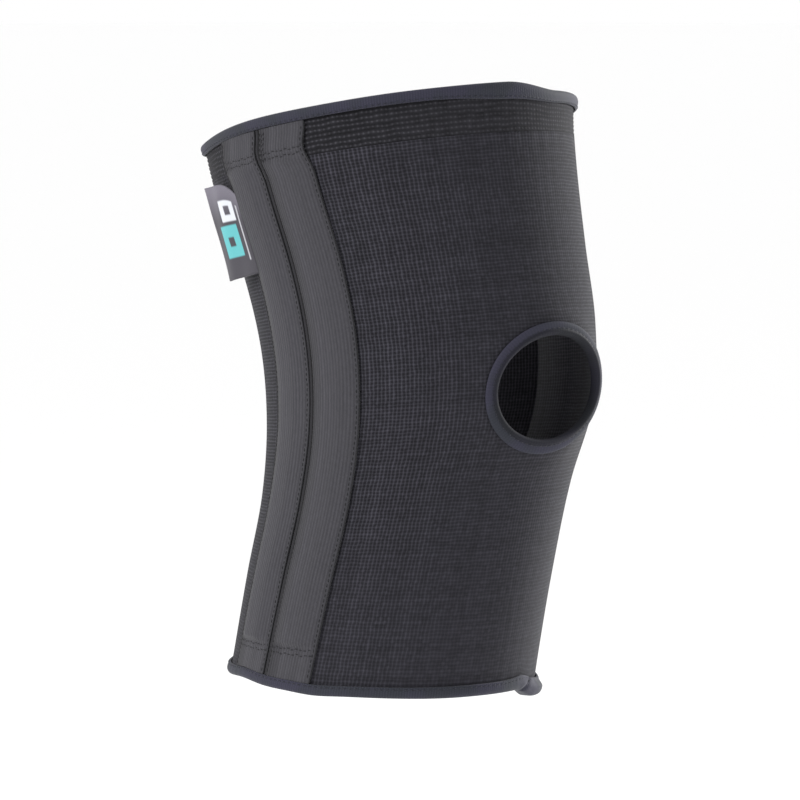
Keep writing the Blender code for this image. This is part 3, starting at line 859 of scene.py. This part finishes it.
def patella_ring():
    """The opening's binding: an outer strip, a stitched groove and a fuller rolled edge."""
    profile = rounded((
        (0.0052, GAP), (0.0052, 0.0009), (0.0046, 0.0014), (0.0034, 0.0014), (0.0026, 0.0012),
        (0.0018, 0.0018), (0.0008, 0.0014), (0.0, 0.0003), (0.0, -0.0014), (0.0006, -0.0024),
        (0.0044, -0.0025), (0.0050, -0.0022), (0.0050, -0.0017), (0.0013, -0.0017), (0.0013, GAP),
    ))
    across, rise = profile[None, :, 0], profile[None, :, 1]
    step = np.arange(RING_STEPS)[:, None]
    angle = 2 * np.pi * step / RING_STEPS
    part = step / RING_STEPS
    ribs = RING_RIB * np.where(step % 2, -1.0, 1.0) * np.sign(rise + KNIT_THICKNESS / 2)
    out = rise + ribs + RING_WOBBLE * waves(part, 31, 8) + ring_lift(angle)
    spread = across * (1 + RING_SPREAD_CHANGE * waves(part, 33, 7))
    millimetres = np.pi * (PATELLA_HALF_WIDTH + PATELLA_HALF_HEIGHT) * 1000
    grid = around_opening(angle, spread, out)
    return ring_sweep("opening_binding", grid, millimetres * part, profile_lengths(profile, 1.0))


# ---- channels

def pocket_rise(height):
    """How open the pocket is: 1 over the stay, 0 where the tape lies flat on the knit."""
    low, high = POCKET_ENDS
    beyond = np.maximum(np.maximum(low - height, height - high), 0.0)
    return 1 - smooth_step(beyond / POCKET_RUNOUT)


def tape_underside(across, height):
    """Height of the tape's back over the knit: raised over the stay."""
    crown = 1 - smooth_step((np.abs(across) - POCKET_FLAT) / (POCKET_FOOT - POCKET_FLAT))
    return GAP + (POCKET_HEIGHT - GAP) * crown * pocket_rise(height)


def tape_top(place, across, height):
    """Height of the tape's face over the knit: ribbed, drawn in at its stitch lines, its edges rounded."""
    distance = np.abs(across)
    half = TAPE_WIDTH / 2
    ribs = TAPE_RELIEF * np.cos(2 * np.pi * across * TAPE_RIBS / TAPE_WIDTH)
    groove = 0.00024 * hump(distance, half - EDGE_STITCH_INSET, 0.0004)
    if place == "front":
        tight = 0.3 + 0.7 * smooth_step((height + 0.1) / 0.08)
        groove = groove + 0.00040 * tight * hump(across, half - SEAM_STITCH_INSET, 0.00035)
    edge = 0.0003 * np.clip((distance - half + 0.0004) / 0.0004, 0, 1) ** 2
    drawn = np.zeros_like(height)
    for end, inward in ((TAPE_END_TOP, -1), (TAPE_END_BOTTOM, 1)):
        for inset in STITCH_ROW_INSETS:
            drawn = drawn + 0.0002 * hump(height, end + inward * inset, 0.0006)
    ripple = TAPE_RIPPLE * waves(height / 0.2 + 0.5 + across * 8, 41, 9)
    return tape_underside(across, height) + TAPE_THICKNESS + ribs - groove - edge - drawn + ripple


def on_tape(side, place, across, height, out):
    """Points at distances across from a tape's middle line."""
    turn = tape_middle(side, place, height) + side * turn_of(across, height)
    return on_leg(turn, height, out)


def tape(name, side, place):
    """A channel tape from hem to hem, with finer rows at its stitched ends."""
    half = TAPE_WIDTH / 2
    length = TAPE_END_TOP - TAPE_END_BOTTOM
    sewn_part = np.arange(0, TAPE_SEWN - TAPE_FINE_ROW / 2, TAPE_FINE_ROW) / length
    plain_part = np.linspace(TAPE_SEWN / length, 1 - TAPE_SEWN / length, 130)
    rows = np.concatenate((sewn_part, plain_part, 1 - sewn_part[::-1]))
    across, part = np.meshgrid(np.linspace(-half, half, 6 * TAPE_RIBS + 1), rows)
    ends = []
    for edge, inward, end in ((BOTTOM, 1, TAPE_END_BOTTOM), (TOP, -1, TAPE_END_TOP)):
        turn = tape_middle(side, place, end) + side * turn_of(across, end)
        ends.append(edge + hem_fold(edge, turn) + inward * (hem_depth(edge, turn) + 0.0001))
    low, high = ends
    height = low + (high - low) * part
    sway = TAPE_SWAY * waves(height / 0.22 + 0.5, 43 + ord(place[0]), 7)
    outer = on_tape(side, place, across + sway, height, tape_top(place, across, height))
    inner = on_tape(side, place, across + sway, height, tape_underside(across, height))
    uvs = np.stack((across * TAPE_RIBS / TAPE_WIDTH, height * 1000), -1)
    return turned_outward(closed_sheet(name, outer, inner, uvs, 4))


def thread_mesh(name, paths, normals, radii):
    """Many short threads, or one long wire, in one mesh. Paths and normals are (threads, points, 3)."""
    threads, points = paths.shape[:2]
    run = unit(np.gradient(paths, axis=1))
    aside = unit(np.cross(run, normals))
    above = np.cross(aside, run)
    angle = 2 * np.pi * np.arange(THREAD_SIDES) / THREAD_SIDES
    radii = np.broadcast_to(radii, (threads, points))[:, :, None, None]
    grid = paths[:, :, None] + radii * (
        np.cos(angle)[:, None] * aside[:, :, None] + np.sin(angle)[:, None] * above[:, :, None]
    )
    faces = []
    size = points * THREAD_SIDES
    for start in range(0, threads * size, size):
        faces += grid_faces(points, THREAD_SIDES, start, wrap_columns=True)
        faces.append([start + k for k in range(THREAD_SIDES)])
        faces.append([start + size - 1 - k for k in range(THREAD_SIDES)])
    along_u = np.broadcast_to(np.arange(points)[None, :, None] * 0.5, grid.shape[:3])
    around_v = np.broadcast_to(np.arange(THREAD_SIDES) / THREAD_SIDES, grid.shape[:3])
    uvs = np.stack((along_u, around_v), -1).reshape(-1, 2)
    return turned_outward(new_mesh(name, grid, faces, uvs))


def sewn(name, path):
    """Stitches as threads. The path is a function that gives their points, raised by a distance."""
    points = path(0.0)
    return thread_mesh(name, points, path(0.001) - points, THREAD_RADIUS * STITCH_TAPER)


def tape_stitches(name, side, place, across, height):
    """Threads on a tape. Across and height give each thread's path, (threads, points)."""
    out = tape_top(place, across, height) + THREAD_RADIUS * STITCH_RISE
    return sewn(name, lambda rise: on_tape(side, place, across, height, out + rise))


def edge_stitches(side_name, side, place):
    """A row of straight stitches along each edge of a tape."""
    count = int((TAPE_END_TOP - TAPE_END_BOTTOM - 0.002) / STITCH_PITCH)
    starts = TAPE_END_BOTTOM + 0.001 + STITCH_PITCH * np.arange(count)
    heights = starts[:, None] + STITCH_LENGTH * STITCH_SHAPE
    rows, lines = [], []
    for edge in (-1, 1):
        seam_side = place == "front" and edge == 1
        line = edge * (TAPE_WIDTH / 2 - (SEAM_STITCH_INSET if seam_side else EDGE_STITCH_INSET))
        rows.append(heights)
        lines.append(np.full_like(heights, line) + 0.00012 * np.sin(starts * 900)[:, None])
    if place == "front":
        darn = TAPE_END_TOP - 0.0015 - 0.0019 * np.arange(6)
        for k in range(3):
            line = TAPE_WIDTH / 2 - 0.0026 - 0.0009 * k
            rows.append((darn - 0.0006 * (k % 2))[:, None] - 0.0012 * STITCH_SHAPE)
            lines.append(np.full_like(rows[-1], line) + 0.0003 * STITCH_SHAPE)
    return tape_stitches(
        f"edge_stitches_{side_name}_{place}", side, place, np.concatenate(lines), np.concatenate(rows)
    )


def cross_stitches(name, side, place, end, inward):
    """Two rows of stitches across a tape's end, closing its pocket."""
    half = TAPE_WIDTH / 2 - 0.0015
    count = int(2 * half / STITCH_PITCH)
    starts = -half + STITCH_PITCH * np.arange(count)
    across, heights = [], []
    for k, inset in enumerate(STITCH_ROW_INSETS):
        line = starts + 0.4 * STITCH_PITCH * k
        across.append(line[:, None] + STITCH_LENGTH * STITCH_SHAPE)
        slant = 0.0003 * np.sin(line * 1200)
        heights.append(np.broadcast_to((end + inward * inset + slant)[:, None], across[-1].shape))
    return tape_stitches(name, side, place, np.concatenate(across), np.concatenate(heights))


def coil_stay(name, side, place):
    """A flat spiral stay: one flattened coil of steel wire with a straight tongue at each end."""
    low, high = STAY_ENDS
    start, end = low + STAY_TONGUE, high - STAY_TONGUE
    turns = round((end - start) / COIL_PITCH)
    angle = np.linspace(0, 2 * np.pi * turns, COIL_POINTS * turns + 1)
    across = (STAY_WIDTH / 2 - WIRE_RADIUS) * np.sin(angle)
    out = STAY_MIDDLE + (STAY_THICKNESS / 2 - WIRE_RADIUS) * np.cos(angle)
    height = start + (end - start) * angle / angle[-1]
    tail = np.linspace(0.05, 1, 5)
    across = np.pad(across, 5)
    out = np.pad(out, 5, constant_values=STAY_MIDDLE)
    height = np.concatenate((start - STAY_TONGUE * tail[::-1], height, end + STAY_TONGUE * tail))
    path = on_tape(side, place, across, height, out)
    outward = on_tape(side, place, across, height, out + 0.001) - path
    upward = on_tape(side, place, across, height + 0.001, out) - path
    return thread_mesh(name, path[None], (upward + 0.3 * outward)[None], WIRE_RADIUS)


def hem_stitches(name, edge, inward):
    """Stitches round a hem, in the groove near its open edge."""
    count = round(2 * np.pi * radius_at(edge) / HEM_STITCH_PITCH)
    turn = (2 * (np.arange(count)[:, None] + STITCH_SHAPE * STITCH_COVER) / count) - 1
    height = edge + hem_fold(edge, turn) + inward * hem_depth(edge, turn) * HEM_STITCH_PLACE
    out = GAP + BINDING_WALL + THREAD_RADIUS * (STITCH_RISE - 1.0) + uneven(turn, *OUT_WAVE)
    return sewn(name, lambda rise: on_leg(turn, height, out + rise))


def ring_stitches():
    """Stitches round the patella binding, in its groove."""
    part = (np.arange(RING_STITCHES)[:, None] + STITCH_SHAPE * STITCH_COVER) / RING_STITCHES
    angle = 2 * np.pi * part
    out = RING_STITCH_OUT + THREAD_RADIUS * (STITCH_RISE - 0.5) + ring_lift(angle)
    return sewn("opening_stitches", lambda rise: around_opening(angle, RING_STITCH_SPREAD, out + rise))


# ---- label

def side_label():
    """A folded satin label, sewn in behind the near rear tape and curling away from the leg."""
    heights = np.linspace(LABEL_LOW, LABEL_HIGH, LABEL_ROWS)
    part, height = np.meshgrid(np.linspace(0, 1, LABEL_COLUMNS), heights)
    rise = (height - LABEL_LOW) / (LABEL_HIGH - LABEL_LOW)
    cut_off = np.clip(1 - part / LABEL_CORNER_PART, 0, 1) ** 2 * smooth_step((rise - 0.55) / 0.45)
    height = height - LABEL_CORNER * cut_off - LABEL_DROOP * part * (1 - rise)
    start_turn = tape_middle(1, "rear", height) + turn_of(TAPE_WIDTH / 2 - LABEL_OVERLAP, height)
    start = on_leg(start_turn, height, GAP + TAPE_THICKNESS + 0.0001)
    base = on_leg(start_turn, height)
    normal = unit(on_leg(start_turn, height, 0.001) - base)
    backward = unit(on_leg(start_turn + 0.01, height) - base)
    lift = np.radians(LABEL_LIFT_LOW + (LABEL_LIFT_HIGH - LABEL_LIFT_LOW) * rise)[..., None]
    bow = LABEL_BOW * np.sin(np.pi * part) + LABEL_RIPPLE * np.sin(3 * np.pi * part + 4 * rise)
    reach = LABEL_WIDTH * part
    away = backward * np.cos(lift) + normal * np.sin(lift)
    aside = normal * np.cos(lift) - backward * np.sin(lift)
    face = start + away * reach[..., None] + aside * bow[..., None]
    thickness = LABEL_THICKNESS - LABEL_THINNER * hump(reach, 0.0, 0.004)
    back = face - aside * thickness[..., None]
    return turned_outward(closed_sheet("woven_label", face, back, np.stack((part, rise), -1), 1))


# ---- the brace

STRETCHES = ("thigh", "knee", "calf")
TAPE_ENDS = (("top", TAPE_END_TOP, -1, THIGH), ("bottom", TAPE_END_BOTTOM, 1, CALF))
HEMS = (("top", TOP, -1, RIB_BAND_THICKNESS, THIGH), ("bottom", BOTTOM, 1, KNIT_THICKNESS, CALF))


def make_knit():
    for place, turns in (("front", front_turns), ("rear", rear_turns)):
        panel = knit_panel(f"knit_{place}_panel", turns)
        if place == "front":
            cut_opening(panel)
        finish_piece(turned_outward(panel), KNIT, [f"knit_{place}_{part}" for part in STRETCHES])
        band = turned_outward(rib_band(f"rib_band_{place}_panel", turns))
        finish_piece(band, RIB_KNIT, [f"rib_band_{place}"], THIGH)


def make_bindings():
    for end, edge, inward, knit_thickness, body in HEMS:
        binding = hem(f"hem_{end}_binding", edge, inward, knit_thickness)
        finish_piece(binding, BINDING, [f"hem_{end}"], body)
    finish_piece(patella_ring(), RING_BINDING, ["patella_binding"])
    for end, edge, inward, _, body in HEMS:
        finish_piece(hem_stitches(f"hem_{end}_stitches", edge, inward), HEM_THREAD, body=body)
    finish_piece(ring_stitches(), HEM_THREAD)


def make_channels():
    for side_name, side in (("near", 1), ("far", -1)):
        for place in ("front", "rear"):
            where = f"{side_name}_{place}"
            cloth = tape(f"tape_{where}", side, place)
            nodes = [f"tape_{where}_{part}" for part in STRETCHES]
            finish_piece(cloth, TAPES[place], nodes)
            finish_piece(edge_stitches(side_name, side, place), THREAD)
            stay = coil_stay(f"coil_stay_{where}", side, place)
            finish_piece(stay, SPRING_STEEL, [f"stay_{where}"])
            for end_name, end, inward, body in TAPE_ENDS:
                row = cross_stitches(f"cross_stitches_{where}_{end_name}", side, place, end, inward)
                finish_piece(row, THREAD, [f"stitches_{where}_{end_name}"], body)
                cap = frame["nodes"][f"cap_{where}_{end_name}"]
                cap.data.materials.clear()
                cap.data.materials.append(SPRING_STEEL)


def declare_sheets():
    """Look up the stitch pieces of each tape; nothing is declared or kept."""
    pieces = bpy.data.objects
    for place in ("front", "rear"):
        for side in ("near", "far"):
            where = f"{side}_{place}"
            stitches = [pieces[f"edge_stitches_{where}"]]
            stitches += [pieces[f"cross_stitches_{where}_{end}"] for end in ("top", "bottom")]


def aim(thing, place, way):
    """Put a lamp or a camera at a place, and let it look that way."""
    thing.location = place
    thing.rotation_mode = "QUATERNION"
    thing.rotation_quaternion = way.to_track_quat("-Z", "Y")


def make_stage():
    """A wide pale floor under the brace, soft studio light and the camera."""
    outline = ((-1, -1), (1, -1), (1, 1), (-1, 1))
    corners = [(x * FLOOR_REACH, y * FLOOR_REACH, FLOOR_HEIGHT) for x, y in outline]
    floor = new_mesh("floor", corners, [[0, 1, 2, 3]], None)
    paper = bpy.data.materials.new("pale_floor")
    paper.use_nodes = True
    shader = paper.node_tree.nodes["Principled BSDF"]
    shader.inputs["Base Color"].default_value = (0.99, 0.99, 0.99, 1.0)
    shader.inputs["Roughness"].default_value = 0.95
    floor.data.materials.append(paper)

    world = bpy.data.worlds.new("studio")
    world.use_nodes = True
    sky = world.node_tree.nodes["Background"]
    sky.inputs["Color"].default_value = (1.0, 1.0, 1.0, 1.0)
    sky.inputs["Strength"].default_value = 1.0
    bpy.context.scene.world = world
    bpy.context.scene.view_settings.view_transform = "Standard"

    azimuth, elevation = math.radians(VIEW_AZIMUTH), math.radians(VIEW_ELEVATION)
    level = math.cos(elevation)
    back = Vector((math.sin(azimuth) * level, -math.cos(azimuth) * level, math.sin(elevation)))
    right = Vector((math.cos(azimuth), math.sin(azimuth), 0.0))
    up = back.cross(right)
    for name, (backward, aside, above), size, power in LAMPS:
        place = back * backward + right * aside + up * above
        light = bpy.data.lights.new(name, "AREA")
        light.shape, light.size, light.energy = "DISK", size, power
        aim(new_object(name, light), place, -place)

    lens = bpy.data.cameras.new("camera")
    lens.lens, lens.sensor_width = 225.0, 36.0
    lens.clip_start, lens.clip_end = 0.05, 300.0
    camera = new_object("camera", lens)
    aim(camera, back * VIEW_DISTANCE - right * VIEW_ASIDE - up * VIEW_BELOW, -back)
    bpy.context.scene.camera = camera


make_stage()
make_knit()
make_bindings()
make_channels()
finish_piece(side_label(), LABEL, ["side_label"])
declare_sheets()
